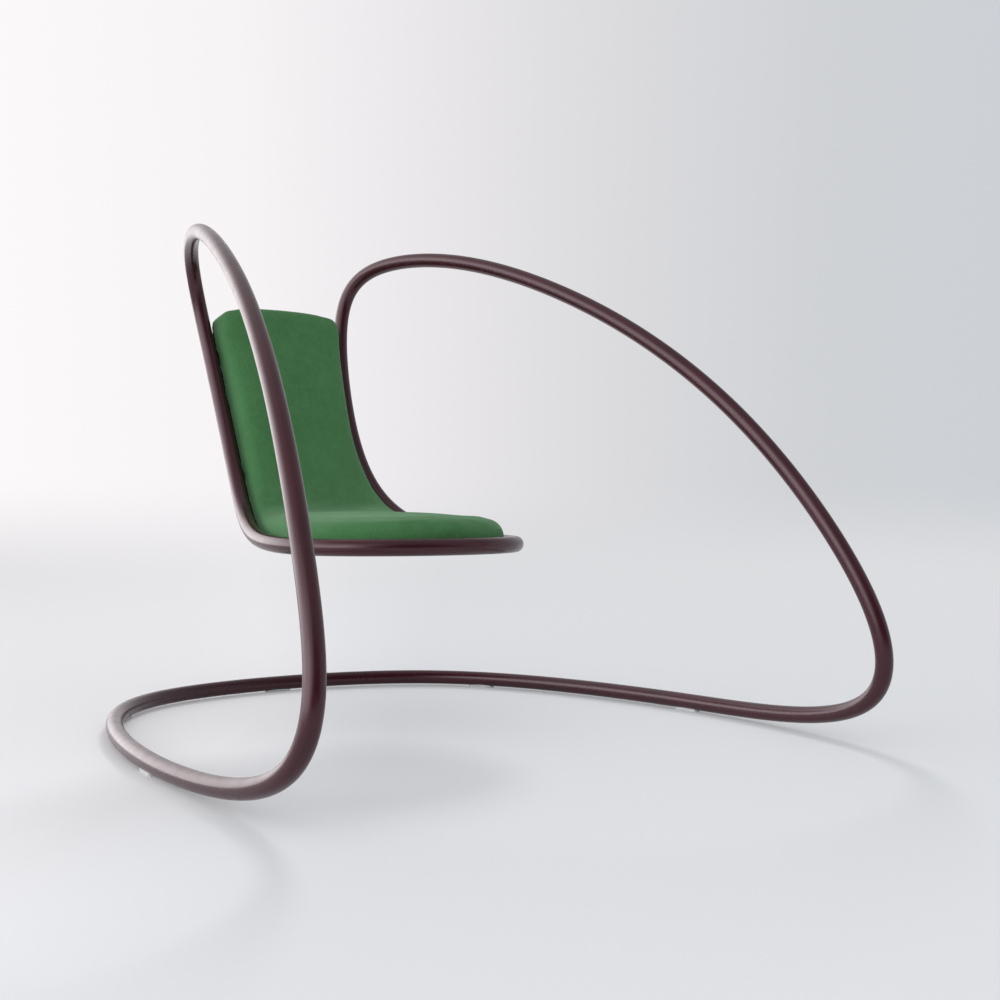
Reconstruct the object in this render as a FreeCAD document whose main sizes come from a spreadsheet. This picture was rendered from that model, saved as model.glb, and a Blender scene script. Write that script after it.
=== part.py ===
"""Cantilever chair: one closed loop of bent steel tube that carries an upholstered shell.

Frame: +Z up, the sitter faces -Y, +X is the sitter's left. The origin is on the floor,
under the middle of the chair. All sizes are in millimetres.

The loop is symmetric about X = 0. From the front of the seat it runs along the side rails,
up the back posts, forward over the arms, down to the feet and back along the floor.
A station is a place along the loop: 0 at the front of the seat, LAST_STATION at the rear
of the base, and a negative station is the same place on the sitter's right.
"""
import FreeCAD, Part
import Sketcher
import math
import os

Vec = FreeCAD.Vector
UP = Vec(0, 0, 1)
DOWN = Vec(0, 0, -1)
LEFT = Vec(1, 0, 0)
BACK = Vec(0, 1, 0)

SIZES = [
    ("tube_dia", 32.0, "outside diameter of the bent tube"),
    ("tube_wall", 2.0, "wall of the tube"),
    ("foot_span", 1188.0, "between the tube's centrelines across the feet"),
    ("frame_length", 1322.0, "between the tube's centrelines, feet to back"),
    ("frame_rise", 988.0, "base centreline to the centreline on top of the arms"),
    ("seat_rise", 338.0, "base centreline to the centreline of the seat tube"),
    ("seat_width", 486.0, "between the centrelines of the seat rails"),
    ("waist_width", 318.0, "between the back posts where they are closest"),
    ("sleeve_half", 45.0, "half the length of the sleeve inside a tube joint"),
    ("sleeve_wall", 2.5, "wall of a joint sleeve"),
    ("sleeve_clear", 0.15, "radial clearance of a sleeve in the tube"),
    ("grub_dia", 6.0, "grub screw that locks a sleeve"),
    ("grub_length", 4.5, "length of a grub screw"),
    ("grub_sink", 0.3, "grub screw below the tube's surface"),
    ("grub_place", 22.0, "grub screw from the joint, along the tube"),
    ("grub_socket_dia", 3.4, "across the corners of a grub screw's socket"),
    ("grub_socket_depth", 2.0, "depth of a grub screw's socket"),
    ("thread_clear", 0.1, "radial clearance of a thread or a shank in its hole"),
    ("lug_thick", 4.0, "plate of a seat lug"),
    ("lug_width", 28.0, "width of a seat lug"),
    ("lug_reach", 34.0, "tube centre to the screw in a lug"),
    ("weld_gap", 0.1, "root gap of a weld, and of a glide's saddle"),
    ("shell_thick", 9.0, "moulded plywood shell"),
    ("shell_drop", 5.0, "back of the shell behind the tube's centrelines"),
    ("pad_height", 60.0, "face of the pad in front of the tube's centrelines, on the lower back"),
    ("pad_gap", 3.0, "between the pad's edge and the tube"),
    ("pad_crown", 5.0, "middle of the pad above its edge line"),
    ("pad_draw", 2.5, "how far the pad's sides pull in towards its face"),
    ("seat_edge", 40.0, "radius of the pad's front edge"),
    ("back_edge", 20.0, "radius of the pad's edge at the back's sides and top"),
    ("pad_head", 64.0, "straight part of the pad above the upper lugs"),
    ("pad_corner", 52.0, "height of the pad's rounded top corners"),
    ("cover_thick", 1.5, "fabric cover with its backing"),
    ("lining_thick", 1.2, "fabric lining behind the shell"),
    ("soft_gap", 0.3, "between a soft layer and what it lies on"),
    ("screw_dia", 6.0, "seat screw"),
    ("screw_hole_dia", 6.6, "clearance hole for a seat screw"),
    ("screw_tip_drop", 1.6, "tip of a seat screw below the tee nut's face"),
    ("head_dia", 10.5, "head of a seat screw"),
    ("head_height", 3.0, "head of a seat screw"),
    ("socket_dia", 4.6, "across the corners of a seat screw's socket"),
    ("socket_depth", 1.8, "depth of a seat screw's socket"),
    ("washer_dia", 14.0, "washer under a seat screw"),
    ("washer_thick", 1.6, "washer under a seat screw"),
    ("nut_flange_dia", 17.0, "flange of a tee nut"),
    ("nut_flange_thick", 1.2, "flange of a tee nut"),
    ("nut_barrel_dia", 8.0, "barrel of a tee nut"),
    ("nut_barrel_length", 8.0, "barrel of a tee nut"),
    ("glide_sole", 3.0, "floor glide under the tube"),
    ("glide_height", 6.5, "floor glide with the cradle that hugs the tube"),
    ("glide_length", 62.0, "length of a floor glide"),
    ("glide_width", 18.0, "width of a floor glide"),
    ("rivet_dia", 4.0, "rivet that holds a glide"),
    ("rivet_head_dia", 8.0, "head of a glide rivet"),
    ("rivet_head_thick", 1.2, "head of a glide rivet"),
    ("rivet_sink", 0.6, "head of a glide rivet above the floor"),
    ("rivet_bulb_dia", 6.0, "closed end of a rivet inside the tube"),
    ("rivet_bulb_length", 3.0, "closed end of a rivet inside the tube"),
    ("ring_sag", 2.2, "how far a straight stretch between two rings may lie off the tube's curve"),
    ("overrun", 2.0, "how far a cutting tool passes a face"),
]

doc = FreeCAD.newDocument("cantilever_chair")
sheet = doc.addObject("Spreadsheet::Sheet", "sizes")
for row, (alias, value, note) in enumerate(SIZES, start=1):
    sheet.set(f"A{row}", note)
    sheet.set(f"B{row}", str(value))
    sheet.setAlias(f"B{row}", alias)
doc.recompute()


def size(alias):
    """A driving size, read back from the sheet."""
    return float(sheet.get(alias))


TUBE_R = size("tube_dia") / 2
BORE_R = TUBE_R - size("tube_wall")
BASE_Z = size("glide_sole") + TUBE_R

# Poles of the smooth curve through the tube's centre, for the sitter's left half.
# Each row gives X as a share of the half width and Z as a share of the rise named above
# its table, and Y as a share of half the frame's length. A pole pulls the curve towards
# itself and lies a little outside it, so some shares pass 1.
SEAT_POLE_SHARES = [  # half the seat's width, the seat's rise
    (0.0, -0.241, 1.0),
    (0.828, -0.135, 1.0),
    (1.091, 0.167, 0.995),
    (0.802, 0.565, 1.05),
]
BACK_POLE_SHARES = [  # half the waist, the frame's rise
    (0.959, 0.799, 0.4875),
    (1.016, 0.963, 0.7435),
    (1.192, 1.038, 0.9515),
]
ARM_POLE_SHARES = [  # half the foot span, the frame's rise
    (0.415, 0.848, 1.0155),
    (0.56, 0.413, 0.98),
    (0.707, -0.162, 0.8145),
    (0.828, -0.602, 0.5945),
    (0.914, -0.905, 0.3385),
    (0.95, -1.035, 0.155),
    (0.978, -0.948, 0.04),
]
BASE_POLE_SHARES = [  # half the foot span, flat on the floor
    (1.003, -0.61, 0.0),
    (1.003, -0.088, 0.0),
    (0.857, 0.512, 0.0),
    (0.566, 0.89, 0.0),
    (0.0, 0.998, 0.0),
]

JOINTS = {"post": 4.5, "arm": 8.6, "foot": 14.3}
LUG_STATIONS = {"front": 0, "rail_front": 1.5, "rail_rear": 2.6, "back_lower": 3.9, "back_upper": 5.1}
GLIDE_STATIONS = {"front": 14.8, "rear": 16.4, "rear_centre": 18}


# The loop of tube

def mirrored_point(point):
    return Vec(-point.x, point.y, point.z)


def loop_poles():
    """Poles of the whole closed loop: the left half, then its mirror image."""
    half_length = size("frame_length") / 2
    tables = [
        (SEAT_POLE_SHARES, size("seat_width") / 2, size("seat_rise")),
        (BACK_POLE_SHARES, size("waist_width") / 2, size("frame_rise")),
        (ARM_POLE_SHARES, size("foot_span") / 2, size("frame_rise")),
        (BASE_POLE_SHARES, size("foot_span") / 2, size("frame_rise")),
    ]
    left = [
        Vec(x * half_width, y * half_length, BASE_Z + z * rise)
        for shares, half_width, rise in tables
        for x, y, z in shares
    ]
    return left + [mirrored_point(pole) for pole in reversed(left[1:-1])]


def smooth_loop(poles):
    """Closed cubic curve whose parameter counts the poles from the first."""
    knots = list(range(len(poles) + 1))
    curve = Part.BSplineCurve()
    curve.buildFromPolesMultsKnots(poles[-1:] + poles[:-1], [1] * len(knots), knots, True, 3)
    return curve


def centred_loop(poles):
    """The loop moved along Y until its middle is over the origin."""
    depths = [point.y for point in smooth_loop(poles).discretize(len(poles) * len(poles))]
    middle = BACK * ((min(depths) + max(depths)) / 2)
    return smooth_loop([pole - middle for pole in poles])


POLES = loop_poles()
LOOP = centred_loop(POLES)
LAST_STATION = len(POLES) // 2


def loop_point(station):
    return LOOP.value(station % len(POLES))


def loop_tangent(station):
    return Vec(LOOP.tangent(station % len(POLES))[0])


def station_beyond(station, length):
    """The station a short length further along the tube."""
    return station + length / LOOP.getDN(station % len(POLES), 1).Length


def split(first, last, count):
    return [first + (last - first) * i / count for i in range(count)] + [last]


def sag_between(one, two):
    """How far the loop lies off the straight line between two of its stations."""
    return loop_point((one + two) / 2).distanceToPoint((loop_point(one) + loop_point(two)) / 2)


def ring_stations():
    """Where the tube's rings stand, over the loop and its mirror: closer where it bends."""
    reach = size("sleeve_half")
    marks = set(LUG_STATIONS.values()) | set(GLIDE_STATIONS.values())
    for joint in JOINTS.values():
        marks |= {joint, station_beyond(joint, reach), station_beyond(joint, -reach)}
    marks = sorted(marks)
    rings = set()
    for one, two in zip(marks, marks[1:]):
        count = 1
        stops = split(one, two, count)
        while max(sag_between(a, b) for a, b in zip(stops, stops[1:])) > size("ring_sag"):
            count += 1
            stops = split(one, two, count)
        rings |= set(stops)
    return sorted(rings | {-s for s in rings} | {len(POLES) - s for s in rings})


def joint_axis(joint):
    """Middle and direction of the straight stretch that a joint's sleeve needs."""
    start, end = [loop_point(station_beyond(joint, way * size("sleeve_half"))) for way in (-1, 1)]
    return (start + end) / 2, (end - start).normalize()


RINGS = ring_stations()
JOINT_AXES = {joint: joint_axis(joint) for joint in JOINTS.values()}


def ring_axis(station):
    """Centre and direction of the tube's ring at a station."""
    for joint, (centre, along) in JOINT_AXES.items():
        if station == joint:
            return centre, along
        if station in (-joint, len(POLES) - joint):
            return mirrored_point(centre), mirrored_point(along) * -1
    return loop_point(station), loop_tangent(station)


def rod_along(first, last, radius):
    """A rod that follows the loop between two of its rings."""
    axes = [ring_axis(station) for station in RINGS if first <= station <= last]
    rings = [Part.Wire(Part.makeCircle(radius, centre, along)) for centre, along in axes]
    return Part.makeLoft(rings, True, True)


def rod_past(station, radius):
    """The rod from the ring before a station to the ring after it."""
    before = max(s for s in RINGS if s < station)
    after = min(s for s in RINGS if s > station)
    return rod_along(before, after, radius)


def radial_hole(centre, outward, radius):
    """A drill from the tube's centre out past its wall."""
    return Part.makeCylinder(radius, TUBE_R + size("overrun"), centre, outward)


def grub_places(joint):
    """Centre and outward direction of the two grub screws under a joint."""
    centre, along = JOINT_AXES[joint]
    outward = (DOWN - along * along.dot(DOWN)).normalize()
    return [(centre + along * way * size("grub_place"), outward) for way in (-1, 1)]


def grub_holes(joint):
    radius = size("grub_dia") / 2 + size("thread_clear")
    return [radial_hole(centre, outward, radius) for centre, outward in grub_places(joint)]


def rivet_hole(station):
    return radial_hole(loop_point(station), DOWN, size("rivet_dia") / 2 + size("thread_clear"))


def tube(first, last, holes):
    """A bent tube, open at both ends, with holes through one wall."""
    pipe = rod_along(first, last, TUBE_R).cut(rod_along(first, last, BORE_R))
    return pipe.cut(Part.makeCompound(holes))


def mirrored(shape):
    return shape.mirror(Vec(), LEFT)


nodes = []


def add_feature(label, shape):
    """A sub-part whose shape follows the sheet through the functions here."""
    feature = doc.addObject("Part::Feature", label)
    feature.Label = label
    feature.Shape = shape
    feature.Placement = FreeCAD.Placement()
    nodes.append(feature)
    return feature


def add_pair(label, shape):
    add_feature(label + "_left", shape)
    add_feature(label + "_right", mirrored(shape))


joint_holes = {name: grub_holes(joint) for name, joint in JOINTS.items()}
side_glides = [GLIDE_STATIONS["front"], GLIDE_STATIONS["rear"]]
base_holes = joint_holes["foot"] + [rivet_hole(s) for s in side_glides]
base_holes += [mirrored(hole) for hole in base_holes] + [rivet_hole(LAST_STATION)]

post_holes = joint_holes["post"] + [mirrored(hole) for hole in joint_holes["post"]]
add_feature("seat_tube", tube(-JOINTS["post"], JOINTS["post"], post_holes))
add_pair("back_tube", tube(JOINTS["post"], JOINTS["arm"], joint_holes["post"] + joint_holes["arm"]))
add_pair("side_tube", tube(JOINTS["arm"], JOINTS["foot"], joint_holes["arm"] + joint_holes["foot"]))
add_feature("base_tube", tube(JOINTS["foot"], len(POLES) - JOINTS["foot"], base_holes))


# Sketches, bodies and groups

def origin_plane(body, role):
    return next(plane for plane in body.Origin.OriginFeatures if plane.Role == role)


def new_sketch(body, role):
    sketch = body.newObject("Sketcher::SketchObject", body.Name + "_sketch")
    sketch.AttachmentSupport = [(origin_plane(body, role), "")]
    sketch.MapMode = "FlatFace"
    return sketch


def pin(sketch, axis, geometry, point, expression):
    """Hold a point of a sketch at a distance from the origin along X or Y."""
    value = sketch.evalExpression(expression)
    if value == 0:
        other_axis = -2 if axis == "X" else -1
        sketch.addConstraint(Sketcher.Constraint("PointOnObject", geometry, point, other_axis))
        return
    ends = (-1, 1, geometry, point) if value > 0 else (geometry, point, -1, 1)
    index = sketch.addConstraint(Sketcher.Constraint("Distance" + axis, *ends, abs(value)))
    sketch.setExpression(f"Constraints[{index}]", expression if value > 0 else f"-({expression})")


def set_radius(sketch, geometry, expression):
    value = sketch.evalExpression(expression)
    index = sketch.addConstraint(Sketcher.Constraint("Radius", geometry, value))
    sketch.setExpression(f"Constraints[{index}]", expression)


def turned_body(name, outline):
    """A body turned about Z from a closed outline of (radius, height) expressions."""
    body = doc.addObject("PartDesign::Body", name)
    sketch = new_sketch(body, "XZ_Plane")
    corners = [Vec(sketch.evalExpression(r), sketch.evalExpression(z), 0) for r, z in outline]
    for i, corner in enumerate(corners):
        sketch.addGeometry(Part.LineSegment(corner, corners[(i + 1) % len(corners)]))
    for i, (radius, height) in enumerate(outline):
        sketch.addConstraint(Sketcher.Constraint("Coincident", i, 2, (i + 1) % len(outline), 1))
        pin(sketch, "X", i, 1, radius)
        pin(sketch, "Y", i, 1, height)
    turning = body.newObject("PartDesign::Revolution", name + "_turning")
    turning.Profile = sketch
    turning.ReferenceAxis = (sketch, ["V_Axis"])
    turning.Angle = 360
    return body


def slot_body(name, start, end, width, thick, hole_at, hole):
    """A plate with round ends about two places on its X axis, and one hole on that axis."""
    body = doc.addObject("PartDesign::Body", name)
    sketch = new_sketch(body, "XY_Plane")
    first, last, wide, drill, drill_at = [
        sketch.evalExpression(text) for text in (start, end, width, hole, hole_at)]
    half = wide / 2
    quarter = math.pi / 2
    sketch.addGeometry(Part.LineSegment(Vec(first, -half, 0), Vec(last, -half, 0)))
    sketch.addGeometry(Part.ArcOfCircle(Part.Circle(Vec(last, 0, 0), UP, half), -quarter, quarter))
    sketch.addGeometry(Part.LineSegment(Vec(last, half, 0), Vec(first, half, 0)))
    sketch.addGeometry(Part.ArcOfCircle(Part.Circle(Vec(first, 0, 0), UP, half), quarter, 3 * quarter))
    sketch.addGeometry(Part.Circle(Vec(drill_at, 0, 0), UP, drill / 2))
    for one, two in ((0, 1), (1, 2), (2, 3), (3, 0)):
        sketch.addConstraint(Sketcher.Constraint("Tangent", one, 2, two, 1))
    for geometry, place in ((1, end), (3, start), (4, hole_at)):
        pin(sketch, "X", geometry, 3, place)
    for geometry in (3, 4):
        sketch.addConstraint(Sketcher.Constraint("PointOnObject", geometry, 3, -1))
    set_radius(sketch, 1, f"({width}) / 2")
    set_radius(sketch, 4, f"({hole}) / 2")
    pad = body.newObject("PartDesign::Pad", name + "_pad")
    pad.Profile = sketch
    pad.setExpression("Length", thick)
    return body


def cut_object(name, base, tool):
    cut = doc.addObject("Part::Cut", name)
    cut.Label = name
    cut.Base = base
    cut.Tool = tool
    return cut


def tool_feature(name, shape):
    tool = doc.addObject("Part::Feature", name)
    tool.Shape = shape
    return tool


def add_group(label, master, placements):
    """One node of separate alike pieces, each a copy of the master."""
    copies = [master.Shape.transformed(placement.toMatrix(), True) for placement in placements]
    return add_feature(label, Part.makeCompound(copies))


def hex_prism(name, corners, depth, bottom):
    prism = doc.addObject("Part::Prism", name)
    prism.Polygon = 6
    prism.setExpression("Circumradius", f"({corners}) / 2")
    prism.setExpression("Height", depth)
    prism.setExpression("Placement.Base.z", bottom)
    return prism


# Sleeves that join the tubes end to end

sleeve_outside = "sizes.tube_dia / 2 - sizes.tube_wall - sizes.sleeve_clear"
sleeve_outline = [
    (f"{sleeve_outside} - sizes.sleeve_wall", "-sizes.sleeve_half"),
    (sleeve_outside, "-sizes.sleeve_half"),
    (sleeve_outside, "sizes.sleeve_half"),
    (f"{sleeve_outside} - sizes.sleeve_wall", "sizes.sleeve_half"),
]
for name, joint in JOINTS.items():
    centre, along = JOINT_AXES[joint]
    drills = joint_holes[name]
    sides = (
        ("left", centre, along, drills),
        ("right", mirrored_point(centre), mirrored_point(along), [mirrored(drill) for drill in drills]),
    )
    for side, middle, way, drills in sides:
        pipe = turned_body(f"{name}_sleeve_{side}_pipe", sleeve_outline)
        pipe.Placement = FreeCAD.Placement(middle, FreeCAD.Rotation(UP, way))
        drill = tool_feature(f"{name}_sleeve_{side}_holes", Part.makeCompound(drills))
        nodes.append(cut_object(f"{name}_sleeve_{side}", pipe, drill))


# Places round the seat and back

def seat_axes(station):
    """Tube centre, inward, sitter-side and rising directions on the seat or the back."""
    tangent = loop_tangent(abs(station))
    rising = Vec(0, tangent.y, tangent.z).normalize() if station else BACK
    normal = LEFT.cross(rising)
    return loop_point(abs(station)), normal.cross(tangent), normal, rising


def seat_frame(station, reach, lift):
    """Local X inward from the tube, local Z towards the sitter."""
    centre, inward, normal, _ = seat_axes(station)
    if station < 0:
        centre, inward = mirrored_point(centre), mirrored_point(inward)
    turn = FreeCAD.Rotation(inward, normal.cross(inward), normal, "ZXY")
    return FreeCAD.Placement(centre + inward * reach + normal * lift, turn)


def named_stations(stations):
    """Each place by name, and its twin on the right unless it is in the middle."""
    places = []
    for name, station in stations.items():
        if station in (0, LAST_STATION):
            places.append((name, station))
        else:
            places += [(name + "_left", station), (name + "_right", -station)]
    return places


LUG_PLACES = named_stations(LUG_STATIONS)
SHELL_BACK = -size("shell_drop")
SHELL_FACE = SHELL_BACK + size("shell_thick")
LINING_FACE = SHELL_BACK - size("soft_gap")
LINING_BACK = LINING_FACE - size("lining_thick")
LUG_FACE = LINING_BACK - size("soft_gap")
LUG_BACK = LUG_FACE - size("lug_thick")
HEAD_FACE = LUG_BACK - size("washer_thick")
NUT_FACE = SHELL_FACE + size("nut_flange_thick")


def fixing_frames(lift):
    return [seat_frame(station, size("lug_reach"), lift) for _, station in LUG_PLACES]


def fixing_holes(diameter, low, high):
    """A drill at each lug's screw between two heights over the tube's centrelines."""
    drill = Part.makeCylinder(diameter / 2, high - low)
    return Part.makeCompound([drill.transformed(place.toMatrix()) for place in fixing_frames(low)])


# Welded lugs

for name, station in LUG_PLACES:
    plate = slot_body(f"lug_{name}_plate", "sizes.lug_width / 4", "sizes.lug_reach",
                      "sizes.lug_width", "sizes.lug_thick", "sizes.lug_reach", "sizes.screw_hole_dia")
    plate.Placement = seat_frame(station, 0, LUG_BACK)
    rod = tool_feature(f"lug_{name}_saddle", rod_past(station, TUBE_R + size("weld_gap")))
    nodes.append(cut_object(f"lug_{name}", plate, rod))


# Floor glides: a moulded strip with a cradle for the tube, held by a blind rivet

GLIDE_PLACES = named_stations(GLIDE_STATIONS)


def glide_frame(station, height):
    """On the floor under the tube, local X along it."""
    centre, tangent = loop_point(station), loop_tangent(station)
    turn = FreeCAD.Rotation(Vec(tangent.x, tangent.y, 0), Vec(), UP, "ZXY")
    return FreeCAD.Placement(Vec(centre.x, centre.y, height), turn)


for name, station in GLIDE_PLACES:
    inset = "(sizes.glide_length - sizes.glide_width) / 2"
    strip = slot_body(f"glide_{name}_strip", f"-{inset}", inset, "sizes.glide_width",
                      "sizes.glide_height", "0", "sizes.rivet_dia + 2 * sizes.thread_clear")
    strip.Placement = glide_frame(station, 0)
    sink = Part.makeCylinder(size("rivet_head_dia") / 2 + size("soft_gap"),
                             size("rivet_sink") + size("rivet_head_thick"), Vec(), UP)
    sink.Placement = glide_frame(station, 0)
    saddle = rod_past(station, TUBE_R + size("weld_gap"))
    tool = tool_feature(f"glide_{name}_cut", Part.makeCompound([saddle, sink]))
    nodes.append(cut_object(f"glide_{name}", strip, tool))


# Small fasteners, each turned or cut once and then copied to its places

grip = "(sizes.glide_sole + sizes.tube_wall - sizes.rivet_sink - sizes.rivet_head_thick)"
rivet = turned_body("rivet_master", [
    ("0", "-sizes.rivet_head_thick"),
    ("sizes.rivet_head_dia / 2", "-sizes.rivet_head_thick"),
    ("sizes.rivet_head_dia / 2", "0"),
    ("sizes.rivet_dia / 2", "0"),
    ("sizes.rivet_dia / 2", f"{grip} + 2 * sizes.soft_gap"),
    ("sizes.rivet_bulb_dia / 2", f"{grip} + 2 * sizes.soft_gap"),
    ("sizes.rivet_bulb_dia / 2", f"{grip} + sizes.rivet_bulb_length"),
    ("0", f"{grip} + sizes.rivet_bulb_length"),
])

screw_blank = turned_body("screw_blank", [
    ("0", "-sizes.head_height"),
    ("sizes.head_dia / 3", "-sizes.head_height"),
    ("sizes.head_dia / 2", "-sizes.head_height / 3"),
    ("sizes.head_dia / 2", "0"),
    ("sizes.screw_dia / 2", "0"),
    ("sizes.screw_dia / 2",
     "sizes.washer_thick + sizes.lug_thick + sizes.lining_thick + 2 * sizes.soft_gap"
     " + sizes.shell_thick + sizes.nut_flange_thick - sizes.screw_tip_drop"),
    ("0",
     "sizes.washer_thick + sizes.lug_thick + sizes.lining_thick + 2 * sizes.soft_gap"
     " + sizes.shell_thick + sizes.nut_flange_thick - sizes.screw_tip_drop"),
])
screw = cut_object("screw_master", screw_blank, hex_prism(
    "screw_socket", "sizes.socket_dia", "sizes.overrun + sizes.socket_depth",
    "-sizes.head_height - sizes.overrun"))

washer = turned_body("washer_master", [
    ("sizes.screw_hole_dia / 2", "0"),
    ("sizes.washer_dia / 2", "0"),
    ("sizes.washer_dia / 2", "sizes.washer_thick"),
    ("sizes.screw_hole_dia / 2", "sizes.washer_thick"),
])

tee_nut = turned_body("tee_nut_master", [
    ("sizes.screw_dia / 2 + sizes.thread_clear", "-sizes.nut_barrel_length"),
    ("sizes.nut_barrel_dia / 2", "-sizes.nut_barrel_length"),
    ("sizes.nut_barrel_dia / 2", "0"),
    ("sizes.nut_flange_dia / 2", "0"),
    ("sizes.nut_flange_dia / 2", "sizes.nut_flange_thick"),
    ("sizes.screw_dia / 2 + sizes.thread_clear", "sizes.nut_flange_thick"),
])

grub_blank = doc.addObject("Part::Cylinder", "grub_blank")
grub_blank.setExpression("Radius", "sizes.grub_dia / 2")
grub_blank.setExpression("Height", "sizes.grub_length")
grub_blank.setExpression("Placement.Base.z", "sizes.tube_dia / 2 - sizes.grub_sink - sizes.grub_length")
grub = cut_object("grub_master", grub_blank, hex_prism(
    "grub_socket", "sizes.grub_socket_dia", "sizes.overrun + sizes.grub_socket_depth",
    "sizes.tube_dia / 2 - sizes.grub_sink - sizes.grub_socket_depth"))

doc.recompute()

rivet_lift = size("rivet_sink") + size("rivet_head_thick")
add_group("glide_rivets", rivet, [glide_frame(s, rivet_lift) for _, s in GLIDE_PLACES])
add_group("seat_screws", screw, fixing_frames(HEAD_FACE))
add_group("seat_washers", washer, fixing_frames(HEAD_FACE))
add_group("tee_nuts", tee_nut, fixing_frames(SHELL_FACE))
grub_frames = []
for joint in JOINTS.values():
    for centre, outward in grub_places(joint):
        for place, way in ((centre, outward), (mirrored_point(centre), mirrored_point(outward))):
            grub_frames.append(FreeCAD.Placement(place, FreeCAD.Rotation(UP, way)))
add_group("sleeve_grub_screws", grub, grub_frames)


# The upholstered seat and back: one shell, one foam, one cover and a lining

PAD_STATIONS = [0.2, 0.45, 0.7, 1.0, 1.25, 1.5, 1.75, 2.05, 2.35, 2.6, 2.85, 3.05, 3.2, 3.35, 3.5, 3.7,
                3.9, 4.1, 4.35, 4.65, 4.9, 5.1, 5.3]
# Station, height of the face over pad_height: thin in the crease, full in the small of the back
PAD_HEIGHT_SHARES = [
    (0.0, 0.95), (2.0, 0.95), (2.4, 0.92), (2.7, 0.77), (2.95, 0.57), (3.2, 0.49), (3.5, 0.68), (3.8, 0.86),
    (4.2, 1.0), (4.7, 1.12), (5.3, 1.03),
]
# Rounded top corners: depth below the top edge over the corner's height, width over full
TOP_CORNER_SHARES = [(1.0, 1.0), (0.7, 0.99), (0.45, 0.965), (0.25, 0.9), (0.08, 0.7), (0.0, 0.45)]


EDGE_SHARE = 0.7  # largest edge radius over the pad's height under its crown
FACE_KEPT = 0.1  # least part of a half section that its rounded edge leaves flat
LOW_EDGE_SHARE = 0.25  # upright part kept under a rounded edge where the face drops low


def share_at(table, station):
    """Smooth value at a station, through a table's pairs, level at both ends."""
    index = max(i for i in range(len(table) - 1) if i == 0 or table[i][0] <= station)
    (one, low), (two, high) = table[index:index + 2]
    run = two - one
    before = table[max(index - 1, 0)]
    after = table[min(index + 2, len(table) - 1)]
    start = (high - before[1]) / (two - before[0]) * run if index > 0 else 0
    end = (after[1] - low) / (after[0] - one) * run if index < len(table) - 2 else 0
    t = (station - one) / run
    return ((2 * t**3 - 3 * t**2 + 1) * low + (t**3 - 2 * t**2 + t) * start
            + (3 * t**2 - 2 * t**3) * high + (t**3 - t**2) * end)


class Row:
    """One cross-section of the pad, square to its side profile."""

    def __init__(self, origin, normal, half_width, from_end, face, edge):
        self.origin = origin
        self.normal = normal
        self.half_width = half_width
        self.from_end = from_end
        self.face = face
        self.edge = edge
        self.slant = 1.0

    def place(self, across, lift):
        return self.origin + LEFT * across + self.normal * lift


def pad_rows(inset):
    """Sections of a pad whose outline and face lie a given inset inside the pad's own."""
    reach = TUBE_R + size("pad_gap") + inset
    rows = []
    nose = loop_point(0) + BACK * reach
    for station in PAD_STATIONS:
        centre, inward, normal, _ = seat_axes(station)
        edge_point = centre + inward * reach
        height = size("pad_height") * share_at(PAD_HEIGHT_SHARES, station)
        along_back = station / PAD_STATIONS[-1]
        edge = size("seat_edge") + (size("back_edge") - size("seat_edge")) * along_back
        edge = min(edge, EDGE_SHARE * (height - size("pad_crown"))) - inset
        from_end = max(edge_point.y - nose.y, 0.0) if station < LUG_STATIONS["rail_rear"] else edge
        origin = Vec(0, edge_point.y, edge_point.z)
        rows.append(Row(origin, normal, edge_point.x, from_end, height - inset, edge))
    before, last = rows[-2:]
    rising = seat_axes(PAD_STATIONS[-1])[3]
    spread = (last.half_width - before.half_width) / last.origin.distanceToPoint(before.origin)
    corner = size("pad_corner")
    for depth_share, width_share in TOP_CORNER_SHARES:
        rise = size("pad_head") - inset - depth_share * corner
        width = (last.half_width + spread * rise) * width_share
        origin = last.origin + rising * rise
        rows.append(Row(origin, last.normal, width, depth_share * corner, last.face, last.edge))
    for one, two in zip(rows, rows[1:]):
        run = one.origin.distanceToPoint(two.origin)
        two.slant = run / math.hypot(run, two.half_width - one.half_width)
    rows[0].slant = rows[1].slant
    return rows


def rounding_drop(radius, from_end):
    """How far a rounded edge lies below its face, a given way in from the edge."""
    short = max(radius - from_end, 0.0)
    return radius - math.sqrt(radius * radius - short * short)


def pad_section(row, widest, back):
    """Back line, two sides that lean in, two rounded edges and a crowned face."""
    crown = size("pad_crown") * (row.half_width / widest) ** 2
    middle = row.face - rounding_drop(row.edge, row.from_end)
    shoulder = middle - crown
    side_top = min(row.face - size("pad_crown") - row.edge, shoulder - LOW_EDGE_SHARE * row.edge)
    top = row.half_width - size("pad_draw")
    round_width = min(row.edge / row.slant, top * (1 - FACE_KEPT))
    half_way = math.sqrt(0.5)
    lean = size("pad_draw") * (back - SHELL_BACK) / (side_top - SHELL_BACK)
    foot = [row.place(sign * (row.half_width - lean), back) for sign in (-1, 1)]
    side = [row.place(sign * top, side_top) for sign in (-1, 1)]
    bend_lift = side_top + (shoulder - side_top) * half_way
    bend = [row.place(sign * (top - round_width * (1 - half_way)), bend_lift) for sign in (-1, 1)]
    inner = [row.place(sign * (top - round_width), shoulder) for sign in (-1, 1)]
    return Part.Wire([
        Part.LineSegment(foot[0], foot[1]).toShape(),
        Part.LineSegment(foot[1], side[1]).toShape(),
        Part.Arc(side[1], bend[1], inner[1]).toShape(),
        Part.Arc(inner[1], row.place(0, middle), inner[0]).toShape(),
        Part.Arc(inner[0], bend[0], side[0]).toShape(),
        Part.LineSegment(side[0], foot[0]).toShape(),
    ])


def pad_solid(inset, back):
    rows = pad_rows(inset)
    widest = max(row.half_width for row in rows)
    return Part.makeLoft([pad_section(row, widest, back) for row in rows], True, True)


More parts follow.
